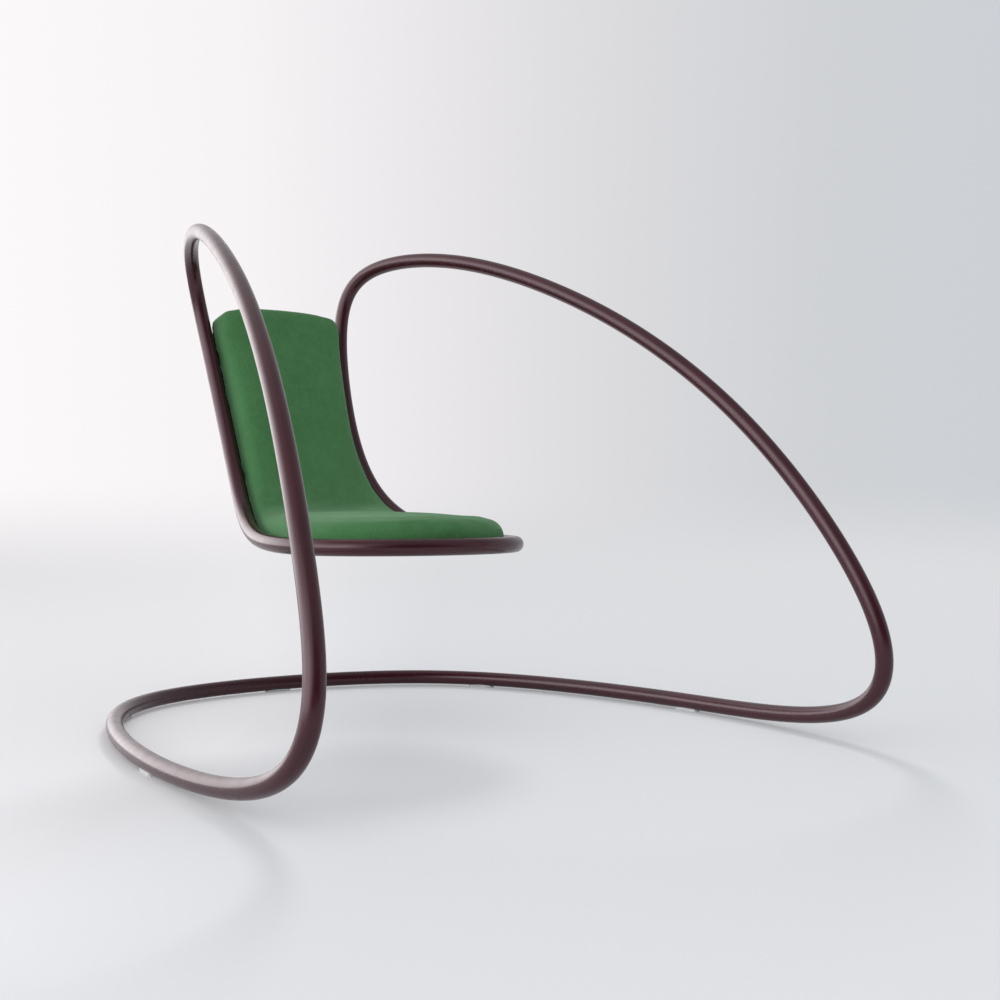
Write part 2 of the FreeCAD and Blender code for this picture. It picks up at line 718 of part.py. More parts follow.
def flat_face(corners):
    return Part.Face(Part.makePolygon(corners + corners[:1]))


def slab_solid(inset, low, high):
    """A curved sheet of flat facets that follows the pad's outline between two heights."""
    rings = []
    for row in pad_rows(inset):
        corners = ((-1, low), (1, low), (1, high), (-1, high))
        rings.append([row.place(side * row.half_width, lift) for side, lift in corners])
    faces = [flat_face(rings[0]), flat_face(rings[-1])]
    for one, two in zip(rings, rings[1:]):
        for start, end in ((0, 1), (2, 3)):
            faces.append(flat_face([one[start], one[end], two[end], two[start]]))
        for foot, top in ((1, 2), (0, 3)):
            faces.append(flat_face([one[foot], one[top], two[top]]))
            faces.append(flat_face([one[foot], two[top], two[foot]]))
    sheet = Part.makeShell(faces)
    sheet.sewShape()
    return Part.makeSolid(sheet)


under_cover = size("cover_thick") + size("soft_gap")
board_inset = under_cover + size("pad_draw")

barrel_holes = fixing_holes(size("nut_barrel_dia") + 2 * size("thread_clear"),
                            SHELL_BACK - size("overrun"), SHELL_FACE + size("overrun"))
flange_seats = fixing_holes(size("nut_flange_dia") + 2 * size("soft_gap"),
                            SHELL_FACE, SHELL_FACE + size("overrun"))
shell = slab_solid(board_inset, SHELL_BACK, SHELL_FACE)
add_feature("seat_shell", shell.cut(barrel_holes).cut(flange_seats))

foam_back = SHELL_FACE + size("soft_gap")
foam = pad_solid(under_cover, foam_back)
add_feature("seat_foam", foam.cut(fixing_holes(
    size("nut_flange_dia") + 2 * size("soft_gap"), SHELL_FACE, NUT_FACE + size("soft_gap"))))

cover = pad_solid(0, SHELL_BACK)
cavity = pad_solid(size("cover_thick"), SHELL_BACK - size("overrun"))
add_feature("seat_cover", cover.cut(cavity))

lining = slab_solid(size("soft_gap"), LINING_BACK, LINING_FACE)
add_feature("back_lining", lining.cut(fixing_holes(
    size("screw_hole_dia"), LINING_BACK - size("overrun"), LINING_FACE + size("overrun"))))


# Check every object, then write each sub-part

doc.recompute()
for item in doc.Objects:
    if {"Invalid", "Error"} & set(item.State):
        raise RuntimeError(f"{item.Label} failed: {item.State}")
for node in nodes:
    if node.Shape.isNull() or not node.Shape.isValid() or not node.Shape.Solids:
        raise RuntimeError(f"{node.Label} has no valid solid")

os.makedirs("parts", exist_ok=True)
for node in nodes:
    node.Shape.exportStep(f"parts/{node.Label}.step")
    print(f"{node.Label}: {len(node.Shape.Solids)} solids, {node.Shape.Volume:.0f} cubic mm")
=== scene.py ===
"""Looks of the cantilever chair: smooth painted tube, upholstered pad, lining and studio.

Metres, in the part's own frame: +Z up, the sitter faces -Y, +X is the sitter's left.
A station is a place along the closed loop of tube: 0 at the front of the seat,
LAST_STATION at the rear of the base, negative on the sitter's right.
"""
import bpy
import math
import numpy as np
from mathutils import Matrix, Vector, kdtree


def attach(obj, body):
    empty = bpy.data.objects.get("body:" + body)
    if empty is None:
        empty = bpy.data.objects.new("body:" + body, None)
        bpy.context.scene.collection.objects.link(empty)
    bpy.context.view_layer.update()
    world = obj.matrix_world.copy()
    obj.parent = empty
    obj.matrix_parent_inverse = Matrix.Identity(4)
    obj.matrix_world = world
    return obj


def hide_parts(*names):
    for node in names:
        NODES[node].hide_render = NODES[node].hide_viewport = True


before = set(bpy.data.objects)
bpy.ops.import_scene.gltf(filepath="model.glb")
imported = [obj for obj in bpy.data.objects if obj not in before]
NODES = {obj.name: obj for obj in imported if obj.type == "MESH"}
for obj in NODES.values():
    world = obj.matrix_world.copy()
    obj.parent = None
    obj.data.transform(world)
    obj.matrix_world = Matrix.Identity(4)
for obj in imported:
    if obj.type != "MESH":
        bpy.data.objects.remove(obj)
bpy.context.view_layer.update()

MM = 0.001
TUBE_RADIUS = 16 * MM
GLIDE_SOLE = 3 * MM
BASE_Z = GLIDE_SOLE + TUBE_RADIUS
SEAT_WIDTH = 0.486
WAIST_WIDTH = 0.318
FOOT_SPAN = 1.188
FRAME_LENGTH = 1.322
SEAT_RISE = 0.338
FRAME_RISE = 0.988

# Poles of the tube's centre curve on the sitter's left: X over a half width, Y over half
# the frame's length, Z over a rise, as the part's own source has them.
SEAT_POLE_SHARES = [(0.0, -0.241, 1.0), (0.828, -0.135, 1.0), (1.091, 0.167, 0.995), (0.802, 0.565, 1.05)]
BACK_POLE_SHARES = [(0.959, 0.799, 0.4875), (1.016, 0.963, 0.7435), (1.192, 1.038, 0.9515)]
ARM_POLE_SHARES = [
    (0.415, 0.848, 1.0155), (0.56, 0.413, 0.98), (0.707, -0.162, 0.8145), (0.828, -0.602, 0.5945),
    (0.914, -0.905, 0.3385), (0.95, -1.035, 0.155), (0.978, -0.948, 0.04),
]
BASE_POLE_SHARES = [
    (1.003, -0.61, 0.0), (1.003, -0.088, 0.0), (0.857, 0.512, 0.0), (0.566, 0.89, 0.0), (0.0, 0.998, 0.0),
]
POST_JOINT = 4.5
ARM_JOINT = 8.6
FOOT_JOINT = 14.3
LUG_STATIONS = [0, 1.5, 2.6, 3.9, 5.1]

BACK = Vector((0, 1, 0))
LEFT = Vector((1, 0, 0))


# The tube's centre curve

def loop_poles():
    tables = [
        (SEAT_POLE_SHARES, SEAT_WIDTH / 2, SEAT_RISE),
        (BACK_POLE_SHARES, WAIST_WIDTH / 2, FRAME_RISE),
        (ARM_POLE_SHARES, FOOT_SPAN / 2, FRAME_RISE),
        (BASE_POLE_SHARES, FOOT_SPAN / 2, FRAME_RISE),
    ]
    left = [Vector((x * half, y * FRAME_LENGTH / 2, BASE_Z + z * rise))
            for shares, half, rise in tables for x, y, z in shares]
    return left + [mirrored(pole) for pole in reversed(left[1:-1])]


def mirrored(point):
    return Vector((-point.x, point.y, point.z))


POLES = loop_poles()
LAST_STATION = len(POLES) // 2


def blended(station, weights):
    """Weighted sum of the four poles round a station."""
    first = math.floor(station)
    total = Vector((0, 0, 0))
    for offset, weight in enumerate(weights(station - first)):
        total += POLES[(first + offset - 1) % len(POLES)] * weight
    return total


def cubic_weights(t):
    return ((1 - t) ** 3 / 6, (3 * t**3 - 6 * t**2 + 4) / 6, (-3 * t**3 + 3 * t**2 + 3 * t + 1) / 6, t**3 / 6)


def slope_weights(t):
    return (-(1 - t) ** 2 / 2, (3 * t**2 - 4 * t) / 2, (-3 * t**2 + 2 * t + 1) / 2, t**2 / 2)


SAMPLES_PER_STATION = 40
SAMPLE_COUNT = LAST_STATION * SAMPLES_PER_STATION
depths = [blended(i / SAMPLES_PER_STATION, cubic_weights).y for i in range(SAMPLE_COUNT)]
Y_MIDDLE = (min(depths) + max(depths)) / 2


def loop_point(station):
    return blended(station, cubic_weights) - BACK * Y_MIDDLE


def loop_tangent(station):
    return blended(station, slope_weights).normalized()


def stations_between(first, last, step):
    count = max(1, round((last - first) / step))
    return [first + (last - first) * i / count for i in range(count + 1)]


# Object and mesh helpers

SHARP_ANGLE = math.radians(35)


def linked_object(name, data):
    obj = bpy.data.objects.new(name, data)
    bpy.context.scene.collection.objects.link(obj)
    return obj


def new_object(name, vertices, faces, material, smooth=True):
    """An object with one material, smooth but for its sharp edges unless told otherwise."""
    mesh = bpy.data.meshes.new(name)
    mesh.from_pydata([tuple(v) for v in vertices], [], faces)
    mesh.update()
    obj = linked_object(name, mesh)
    mesh.materials.append(material)
    for polygon in mesh.polygons:
        polygon.use_smooth = smooth
    if smooth:
        mesh.set_sharp_from_angle(angle=SHARP_ANGLE)
    return obj


def carried_frames(points, tangents):
    """Two cross directions at each point, carried along so that they never twist."""
    across = tangents[0].orthogonal().normalized()
    frames = []
    for tangent in tangents:
        across = (across - tangent * across.dot(tangent)).normalized()
        frames.append((across, tangent.cross(across)))
    return frames


def tube_geometry(points, tangents, radii, sides):
    """Vertices and faces of a capped round tube along a path."""
    vertices, faces = [], []
    for point, (across, other), radius in zip(points, carried_frames(points, tangents), radii):
        for i in range(sides):
            angle = 2 * math.pi * i / sides
            vertices.append(point + (across * math.cos(angle) + other * math.sin(angle)) * radius)
    for ring in range(len(points) - 1):
        for i in range(sides):
            a = ring * sides + i
            b = ring * sides + (i + 1) % sides
            faces.append((a, b, b + sides, a + sides))
    last = (len(points) - 1) * sides
    faces.append(tuple(reversed(range(sides))))
    faces.append(tuple(last + i for i in range(sides)))
    return vertices, faces


def merged_object(name, parts, material, smooth=True):
    """One object from several (vertices, faces) lists that each count from zero."""
    vertices, faces = [], []
    for part_vertices, part_faces in parts:
        shift = len(vertices)
        vertices += part_vertices
        faces += [tuple(i + shift for i in face) for face in part_faces]
    return new_object(name, vertices, faces, material, smooth)


# Materials

def new_material(name):
    """A material with its nodes, its links and its main shader."""
    material = bpy.data.materials.new(name)
    material.use_nodes = True
    tree = material.node_tree
    return material, tree.nodes, tree.links, tree.nodes["Principled BSDF"]


def add_noise(nodes, links, scale, detail, coordinates, roughness=0.5):
    """Noise from about 0 to 1 over the given coordinates."""
    noise = nodes.new("ShaderNodeTexNoise")
    noise.inputs["Scale"].default_value = scale
    noise.inputs["Detail"].default_value = detail
    noise.inputs["Roughness"].default_value = roughness
    links.new(coordinates, noise.inputs["Vector"])
    return noise.outputs["Fac"]


def add_ramp(nodes, links, value, stops):
    """Colour that a value picks from (position, colour) stops."""
    ramp = nodes.new("ShaderNodeValToRGB")
    ramp.color_ramp.elements[0].position, ramp.color_ramp.elements[0].color = stops[0]
    ramp.color_ramp.elements[1].position, ramp.color_ramp.elements[1].color = stops[-1]
    for position, color in stops[1:-1]:
        ramp.color_ramp.elements.new(position).color = color
    links.new(value, ramp.inputs["Fac"])
    return ramp.outputs["Color"]


def add_bump(nodes, links, height, strength, distance, shader):
    bump = nodes.new("ShaderNodeBump")
    bump.inputs["Strength"].default_value = strength
    bump.inputs["Distance"].default_value = distance
    links.new(height, bump.inputs["Height"])
    links.new(bump.outputs["Normal"], shader.inputs["Normal"])


def add_math(nodes, links, operation, first, second):
    """Result of a sum whose two terms are numbers or sockets."""
    node = nodes.new("ShaderNodeMath")
    node.operation = operation
    for socket, value in zip(node.inputs, (first, second)):
        if isinstance(value, (int, float)):
            socket.default_value = value
        else:
            links.new(value, socket)
    return node.outputs[0]


def object_coordinates(nodes):
    return nodes.new("ShaderNodeTexCoord").outputs["Object"]


GRAIN_FINENESS = 9
GRAIN_DEPTH = 0.2 * MM


def plain_material(name, dark, light, roughness, metallic, noise_scale, bump_strength):
    """Colour that drifts between two tones, with a fine grain."""
    material, nodes, links, shader = new_material(name)
    coordinates = object_coordinates(nodes)
    tone = add_noise(nodes, links, noise_scale, 4, coordinates)
    color = add_ramp(nodes, links, tone, [(0.3, (*dark, 1)), (0.7, (*light, 1))])
    links.new(color, shader.inputs["Base Color"])
    shader.inputs["Roughness"].default_value = roughness
    shader.inputs["Metallic"].default_value = metallic
    grain = add_noise(nodes, links, noise_scale * GRAIN_FINENESS, 3, coordinates)
    add_bump(nodes, links, grain, bump_strength, GRAIN_DEPTH, shader)
    return material


ENAMEL_TONES = [(0.3, (0.030, 0.0035, 0.0075, 1)), (0.7, (0.042, 0.0055, 0.0110, 1))]
ENAMEL_ROUGHNESS = [(0.35, (0.22, 0.22, 0.22, 1)), (0.75, (0.30, 0.30, 0.30, 1))]
ENAMEL_SHINE = (1.0, 0.88, 0.92, 1)
TONE_NOISE = 9
WEAR_NOISE = 40
PEEL_NOISE = 260
PEEL_STRENGTH = 0.02
PEEL_DEPTH = 0.1 * MM


def paint_material():
    """Deep red-brown gloss enamel, with the faint orange peel of sprayed paint."""
    material, nodes, links, shader = new_material("burgundy_enamel")
    coordinates = object_coordinates(nodes)
    tone = add_noise(nodes, links, TONE_NOISE, 3, coordinates)
    links.new(add_ramp(nodes, links, tone, ENAMEL_TONES), shader.inputs["Base Color"])
    wear = add_noise(nodes, links, WEAR_NOISE, 4, coordinates)
    links.new(add_ramp(nodes, links, wear, ENAMEL_ROUGHNESS), shader.inputs["Roughness"])
    shader.inputs["Specular Tint"].default_value = ENAMEL_SHINE
    peel = add_noise(nodes, links, PEEL_NOISE, 2, coordinates)
    add_bump(nodes, links, peel, PEEL_STRENGTH, PEEL_DEPTH, shader)
    return material


THREAD_PITCH = 3.2 * MM
FIBRE_NOISE = 900
SLUB_NOISE = 240
PATCH_NOISE = 45
SHADE_NOISE = 7
WEAVE_SHARE = 0.5
SLUB_SHARE = 0.9
HEIGHT_SHARE = 0.30
PATCH_SHARE = 0.16
SHADE_SHARE = 0.14
DARK_STOP = 0.2
LIGHT_STOP = 0.47
FLECK_STOP = 0.8
CLOTH_ROUGHNESS = 0.92
CLOTH_SHINE = 0.15
SHEEN_ROUGHNESS = 0.5
SHEEN_TINT = (0.75, 1.0, 0.80, 1)
CLOTH_BUMP = 0.6
CLOTH_RELIEF = 0.6 * MM


def added_share(nodes, links, total, value, share):
    return add_math(nodes, links, "ADD", total, add_math(nodes, links, "MULTIPLY", value, share))


def fabric_material(name, dark, light, fleck, sheen):
    """Wool cloth in a plain weave that follows the across and along attributes."""
    material, nodes, links, shader = new_material(name)
    waves = []
    for direction in ("across", "along"):
        attribute = nodes.new("ShaderNodeAttribute")
        attribute.attribute_name = direction
        turns = add_math(nodes, links, "MULTIPLY", attribute.outputs["Fac"], 2 * math.pi / THREAD_PITCH)
        waves.append(add_math(nodes, links, "SINE", turns, 0.0))
    weave = add_math(nodes, links, "MULTIPLY", *waves)
    coordinates = object_coordinates(nodes)
    fibre = add_noise(nodes, links, FIBRE_NOISE, 3, coordinates, 0.7)
    slub = add_noise(nodes, links, SLUB_NOISE, 4, coordinates, 0.65)
    patch = add_noise(nodes, links, PATCH_NOISE, 3, coordinates, 0.6)
    shade = add_noise(nodes, links, SHADE_NOISE, 3, coordinates)
    height = added_share(nodes, links, fibre, weave, WEAVE_SHARE)
    height = added_share(nodes, links, height, slub, SLUB_SHARE)
    mix = add_math(nodes, links, "MULTIPLY", height, HEIGHT_SHARE)
    mix = added_share(nodes, links, mix, patch, PATCH_SHARE)
    mix = added_share(nodes, links, mix, shade, SHADE_SHARE)
    stops = [(DARK_STOP, (*dark, 1)), (LIGHT_STOP, (*light, 1)), (FLECK_STOP, (*fleck, 1))]
    links.new(add_ramp(nodes, links, mix, stops), shader.inputs["Base Color"])
    shader.inputs["Roughness"].default_value = CLOTH_ROUGHNESS
    shader.inputs["Specular IOR Level"].default_value = CLOTH_SHINE
    shader.inputs["Sheen Weight"].default_value = sheen
    shader.inputs["Sheen Roughness"].default_value = SHEEN_ROUGHNESS
    shader.inputs["Sheen Tint"].default_value = SHEEN_TINT
    add_bump(nodes, links, height, CLOTH_BUMP, CLOTH_RELIEF, shader)
    return material


# Near-black wood: a dark stain, and painted shade for the gap where the shell's edge shows between the pad
# and the lining.
STAIN_AND_SHADE_TONES = [(0.2, (0.016, 0.012, 0.009, 1)), (0.8, (0.034, 0.025, 0.018, 1))]
WOOD_GRAIN = 60
WOOD_DISTORTION = 9
WOOD_ROUGHNESS = 0.6


def plywood_material():
    """Wood with a wavy grain, stained near black: a real dark stain that is also painted shade where the
    shell's edge shows in the gap between the pad and the lining.
    """
    material, nodes, links, shader = new_material("plywood_stain_and_shade")
    wave = nodes.new("ShaderNodeTexWave")
    wave.inputs["Scale"].default_value = WOOD_GRAIN
    wave.inputs["Distortion"].default_value = WOOD_DISTORTION
    links.new(object_coordinates(nodes), wave.inputs["Vector"])
    links.new(add_ramp(nodes, links, wave.outputs["Fac"], STAIN_AND_SHADE_TONES), shader.inputs["Base Color"])
    shader.inputs["Roughness"].default_value = WOOD_ROUGHNESS
    return material


PAINT = paint_material()
GREEN = fabric_material("green_wool", (0.026, 0.094, 0.029), (0.062, 0.187, 0.067),
                        (0.118, 0.300, 0.120), 0.18)
LINING = fabric_material("dark_lining", (0.012, 0.020, 0.014), (0.022, 0.032, 0.024),
                         (0.035, 0.045, 0.036), 0.1)
STEEL = plain_material("zinc_plated_steel", (0.42, 0.42, 0.40), (0.58, 0.58, 0.56), 0.34, 1.0, 90, 0.08)
ALUMINIUM = plain_material("rivet_aluminium", (0.62, 0.62, 0.63), (0.74, 0.74, 0.75), 0.38, 1.0, 90, 0.08)
NYLON = plain_material("pale_nylon", (0.50, 0.50, 0.51), (0.56, 0.56, 0.57), 0.6, 0.0, 120, 0.12)
PLYWOOD = plywood_material()
THREAD = plain_material("green_thread", (0.03, 0.11, 0.035), (0.05, 0.16, 0.055), 0.7, 0.0, 400, 0.2)

NODE_MATERIALS = {
    "lug": PAINT, "glide_rivets": ALUMINIUM, "glide": NYLON, "seat_shell": PLYWOOD,
    "post_sleeve": STEEL, "arm_sleeve": STEEL, "foot_sleeve": STEEL, "sleeve_grub": STEEL, "tee": STEEL,
    "seat_washers": STEEL, "seat_screws": STEEL,
}


def dress_nodes():
    """Every carried-over node takes the material whose prefix it has; the longest wins."""
    for name, node in NODES.items():
        prefixes = [prefix for prefix in NODE_MATERIALS if name.startswith(prefix)]
        if prefixes:
            node.data.materials.clear()
            node.data.materials.append(NODE_MATERIALS[max(prefixes, key=len)])


dress_nodes()


# The six bent tubes, cut square and butted at their joints

TUBE_SIDES = 48
TUBE_STEP = 0.05
END_ROUND = 0.12 * MM


def tube_between(name, first, last, node):
    """A smooth tube that stands for a CAD tube, with a hair of rounding at its cut ends."""
    stations = stations_between(first, last, TUBE_STEP)
    points = [loop_point(s) for s in stations]
    tangents = [loop_tangent(s) for s in stations]
    radii = [TUBE_RADIUS] * len(stations)
    start, end = points[0], points[-1]
    points = [start, start + tangents[0] * END_ROUND] + points[1:-1] + [end - tangents[-1] * END_ROUND, end]
    tangents = tangents[:1] + tangents + tangents[-1:]
    radii = [TUBE_RADIUS - END_ROUND] + radii + [TUBE_RADIUS - END_ROUND]
    vertices, faces = tube_geometry(points, tangents, radii, TUBE_SIDES)
    tube = new_object(name, vertices, faces, PAINT)
    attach(tube, "root")
    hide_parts(node)


tube_between("tube_seat", -POST_JOINT, POST_JOINT, "seat_tube")
tube_between("tube_back_left", POST_JOINT, ARM_JOINT, "back_tube_left")
tube_between("tube_back_right", -ARM_JOINT, -POST_JOINT, "back_tube_right")
tube_between("tube_side_left", ARM_JOINT, FOOT_JOINT, "side_tube_left")
tube_between("tube_side_right", -FOOT_JOINT, -ARM_JOINT, "side_tube_right")
tube_between("tube_base", FOOT_JOINT, 2 * LAST_STATION - FOOT_JOINT, "base_tube")


# The pad's own axes: a profile along the seat and up the back, with a half width

PAD_FIRST = 0.2
PAD_LAST = 5.3
PAD_GAP = 3 * MM
PAD_HEIGHT = 60 * MM
PAD_CROWN = 5 * MM
SEAT_EDGE = 40 * MM
BACK_EDGE = 20 * MM
PAD_HEAD = 64 * MM
PAD_CORNER = 52 * MM
SHELL_BACK = -5 * MM
EDGE_SHARE = 0.7
FACE_KEPT = 0.1
LOW_EDGE_SHARE = 0.25
PAD_HEIGHT_SHARES = [
    (0.0, 0.95), (2.0, 0.95), (2.4, 0.92), (2.7, 0.77), (2.95, 0.57), (3.2, 0.49), (3.5, 0.68), (3.8, 0.86),
    (4.2, 1.0), (4.7, 1.12), (5.3, 1.03),
]
TOP_CORNER_SHARES = [(1.0, 1.0), (0.7, 0.99), (0.45, 0.965), (0.25, 0.9), (0.08, 0.7), (0.0, 0.45)]
PAD_ROW_STEP = 0.06
CORNER_STEPS = 5
SPREAD_ROWS = 8
BACK_POINTS = 14
SIDE_POINTS = 5
ROUND_POINTS = 9
FACE_POINTS = 12


def seat_axes(station):
    """Tube centre, inward, sitter-side and rising directions on the seat or the back."""
    tangent = loop_tangent(abs(station))
    rising = Vector((0, tangent.y, tangent.z)).normalized() if station else BACK
    normal = LEFT.cross(rising)
    return loop_point(abs(station)), normal.cross(tangent), normal, rising


def share_at(table, station):
    """Smooth value at a station, through a table's pairs, level at both ends."""
    index = max(i for i in range(len(table) - 1) if i == 0 or table[i][0] <= station)
    (one, low), (two, high) = table[index:index + 2]
    run = two - one
    before = table[max(index - 1, 0)]
    after = table[min(index + 2, len(table) - 1)]
    start = (high - before[1]) / (two - before[0]) * run if index > 0 else 0
    end = (after[1] - low) / (after[0] - one) * run if index < len(table) - 2 else 0
    t = (station - one) / run
    return ((2 * t**3 - 3 * t**2 + 1) * low + (t**3 - 2 * t**2 + t) * start
            + (3 * t**2 - 2 * t**3) * high + (t**3 - t**2) * end)


class Row:
    """One cross-section of the pad, square to its side profile."""

    def __init__(self, origin, normal, half_width, from_end, face, edge):
        """from_end is the way in from the pad's end, face its height and edge its rounding."""
        self.origin = origin
        self.normal = normal
        self.half_width = half_width
        self.from_end = from_end
        self.face = face
        self.edge = edge
        self.slant = 1.0

    def place(self, across, lift):
        return self.origin + LEFT * across + self.normal * lift


def corner_shares():
    """The rounded top corner, with steps between the given shares."""
    shares = []
    for (depth, width), (next_depth, next_width) in zip(TOP_CORNER_SHARES, TOP_CORNER_SHARES[1:]):
        for i in range(CORNER_STEPS):
            t = i / CORNER_STEPS
            shares.append((depth + (next_depth - depth) * t, width + (next_width - width) * t))
    return shares + TOP_CORNER_SHARES[-1:]


def pad_rows(inset):
    """Sections of a pad whose outline lies a given inset inside the pad's own."""
    reach = TUBE_RADIUS + PAD_GAP + inset
    nose = loop_point(0).y + reach
    rows = []
    for station in stations_between(PAD_FIRST, PAD_LAST, PAD_ROW_STEP):
        centre, inward, normal, rising = seat_axes(station)
        edge_point = centre + inward * reach
        height = PAD_HEIGHT * share_at(PAD_HEIGHT_SHARES, station)
        edge = SEAT_EDGE + (BACK_EDGE - SEAT_EDGE) * station / PAD_LAST
        edge = min(edge, EDGE_SHARE * (height - PAD_CROWN)) - inset
        from_end = max(edge_point.y - nose, 0.0) if station < LUG_STATIONS[2] else edge
        origin = Vector((0, edge_point.y, edge_point.z))
        rows.append(Row(origin, normal, edge_point.x, from_end, height - inset, edge))
    last, before, rising = rows[-1], rows[-SPREAD_ROWS], seat_axes(PAD_LAST)[3]
    spread = (last.half_width - before.half_width) / (last.origin - before.origin).length
    for depth_share, width_share in corner_shares():
        rise = PAD_HEAD - inset - depth_share * PAD_CORNER
        width = (last.half_width + spread * rise) * width_share
        origin = last.origin + rising * rise
        rows.append(Row(origin, last.normal, width, depth_share * PAD_CORNER, last.face, last.edge))
    for one, two in zip(rows, rows[1:]):
        run = (two.origin - one.origin).length
        two.slant = run / math.hypot(run, two.half_width - one.half_width)
    rows[0].slant = rows[1].slant
    return rows


def rounding_drop(radius, from_end):
    """How far a rounded edge lies below its face, a given way in from the edge."""
    short = max(radius - from_end, 0.0)
    return radius - math.sqrt(radius * radius - short * short)


def section_points(row, widest, back, draw):
    """Points round one section: the back, then up the left side, over the face and down."""
    crown = PAD_CROWN * (row.half_width / widest) ** 2
    middle = row.face - rounding_drop(row.edge, row.from_end)
    shoulder = middle - crown
    side_top = min(row.face - PAD_CROWN - row.edge, shoulder - LOW_EDGE_SHARE * row.edge)
    top = row.half_width - draw
    round_width = min(row.edge / row.slant, top * (1 - FACE_KEPT))
    points = [row.place(row.half_width * (2 * i / BACK_POINTS - 1), back) for i in range(BACK_POINTS)]
    points += [row.place(row.half_width + (top - row.half_width) * i / SIDE_POINTS,
                         back + (side_top - back) * i / SIDE_POINTS) for i in range(SIDE_POINTS)]
    turns = [math.pi / 2 * i / ROUND_POINTS for i in range(ROUND_POINTS)]
    corner = [(top - round_width * (1 - math.cos(turn)), side_top + (shoulder - side_top) * math.sin(turn))
              for turn in turns]
    points += [row.place(across, lift) for across, lift in corner]
    inner = top - round_width
    for i in range(FACE_POINTS + 1):
        across = inner * (1 - 2 * i / FACE_POINTS)
        lift = shoulder + crown * (1 - (across / inner) ** 2)
        points.append(row.place(across, lift))
    points += [row.place(-across, lift) for across, lift in reversed(corner)]
    points += [row.place(-(top + (row.half_width - top) * i / SIDE_POINTS),
                         side_top + (back - side_top) * i / SIDE_POINTS) for i in range(1, SIDE_POINTS)]
    return points


def skinned(rings):
    """Vertices and faces of a closed skin over rings of equal count, with flat ends."""
    count = len(rings[0])
    vertices = [point for ring in rings for point in ring]
    faces = []
    for ring in range(len(rings) - 1):
        for i in range(count):
            a, b = ring * count + i, ring * count + (i + 1) % count
            faces.append((a, a + count, b + count, b))
    last = (len(rings) - 1) * count
    faces.append(tuple(range(count)))
    faces.append(tuple(last + i for i in reversed(range(count))))
    return vertices, faces


PROFILE = pad_rows(0)
profile_lengths = [0.0]
for one, two in zip(PROFILE, PROFILE[1:]):
    profile_lengths.append(profile_lengths[-1] + (two.origin - one.origin).length)
profile_tree = kdtree.KDTree(len(PROFILE))
for index, row in enumerate(PROFILE):
    profile_tree.insert(row.origin + row.normal * row.face / 2, index)
profile_tree.balance()


def profile_place(point):
    """Length along the profile, height over the tube's centrelines and half width at a point."""
    _, index, _ = profile_tree.find(Vector((0, point.y, point.z)))
    row = PROFILE[index]
    offset = Vector((0, point.y, point.z)) - row.origin
    rising = row.normal.cross(LEFT)
    return profile_lengths[index] + offset.dot(rising), offset.dot(row.normal), row.half_width


def write_cloth_attributes(mesh):
    """Distances across and along the cloth, which the weave follows."""
    across = mesh.attributes.new("across", "FLOAT", "POINT")
    along = mesh.attributes.new("along", "FLOAT", "POINT")
    for i, vertex in enumerate(mesh.vertices):
        length, lift, half_width = profile_place(vertex.co)
        across.data[i].value = vertex.co.x * (1 + (PAD_HEIGHT - lift) / half_width)
        along.data[i].value = length


# The upholstered pad: skinned, remeshed, swollen a little as cloth, then smoothed

START_INSET = 1.0 * MM
START_DRAW = 4.0 * MM
START_DROP = 2.5 * MM
VOXEL = 4 * MM
SWELL_FRAMES = 20
SWELL_PRESSURE = 4.0
SWELL_CAP = 5 * MM
SWELL_EASING = 12
SWELL_QUALITY = 5
SWELL_MASS = 0.3
HELD_BELOW = 10 * MM
RELAX_FACTOR = 0.5
RELAX_ROUNDS = 2


def apply_modifiers(obj):
    """Bakes an object's modifiers into its mesh."""
    graph = bpy.context.evaluated_depsgraph_get()
    baked = bpy.data.meshes.new_from_object(obj.evaluated_get(graph))
    obj.modifiers.clear()
    old = obj.data
    obj.data = baked
    bpy.data.meshes.remove(old)


def eased(moves, edges, rounds):
    """Each vertex's move, averaged with its neighbours' a number of times."""
    count = np.zeros(len(moves))
    np.add.at(count, edges.ravel(), 1)
    for _ in range(rounds):
        total = np.zeros(len(moves))
        np.add.at(total, edges[:, 0], moves[edges[:, 1]])
        np.add.at(total, edges[:, 1], moves[edges[:, 0]])
        moves = (moves + total / count) / 2
    return moves


def swell(obj):
    """Blows a closed skin up as cloth, with its back held, and keeps how far it moves outward."""
    mesh = obj.data
    rest = np.array([vertex.co for vertex in mesh.vertices])
    normals = np.array([vertex.normal for vertex in mesh.vertices])
    edges = np.array([edge.vertices for edge in mesh.edges])
    held = obj.vertex_groups.new(name="held")
    for i, point in enumerate(rest):
        if profile_place(Vector(point))[1] < HELD_BELOW:
            held.add([i], 1.0, "REPLACE")
    cloth = obj.modifiers.new("swelling", "CLOTH")
    cloth.settings.quality = SWELL_QUALITY
    cloth.settings.mass = SWELL_MASS
    cloth.settings.vertex_group_mass = "held"
    cloth.settings.use_pressure = True
    cloth.settings.uniform_pressure_force = SWELL_PRESSURE
    cloth.settings.effector_weights.gravity = 0
    cloth.point_cache.frame_start = 1
    cloth.point_cache.frame_end = SWELL_FRAMES
    for number in range(1, SWELL_FRAMES + 1):
        bpy.context.scene.frame_set(number)
    graph = bpy.context.evaluated_depsgraph_get()
    swollen = np.array([vertex.co for vertex in obj.evaluated_get(graph).data.vertices])
    obj.modifiers.remove(cloth)
    bpy.context.scene.frame_set(1)
    moves = ((swollen - rest) * normals).sum(axis=1)
    moves = eased(np.clip(moves, 0, SWELL_CAP), edges, SWELL_EASING)
    for vertex, place in zip(mesh.vertices, rest + normals * moves[:, None]):
        vertex.co = place


def add_smoothing(obj):
    smoothing = obj.modifiers.new("relax", "SMOOTH")
    smoothing.factor = RELAX_FACTOR
    smoothing.iterations = RELAX_ROUNDS


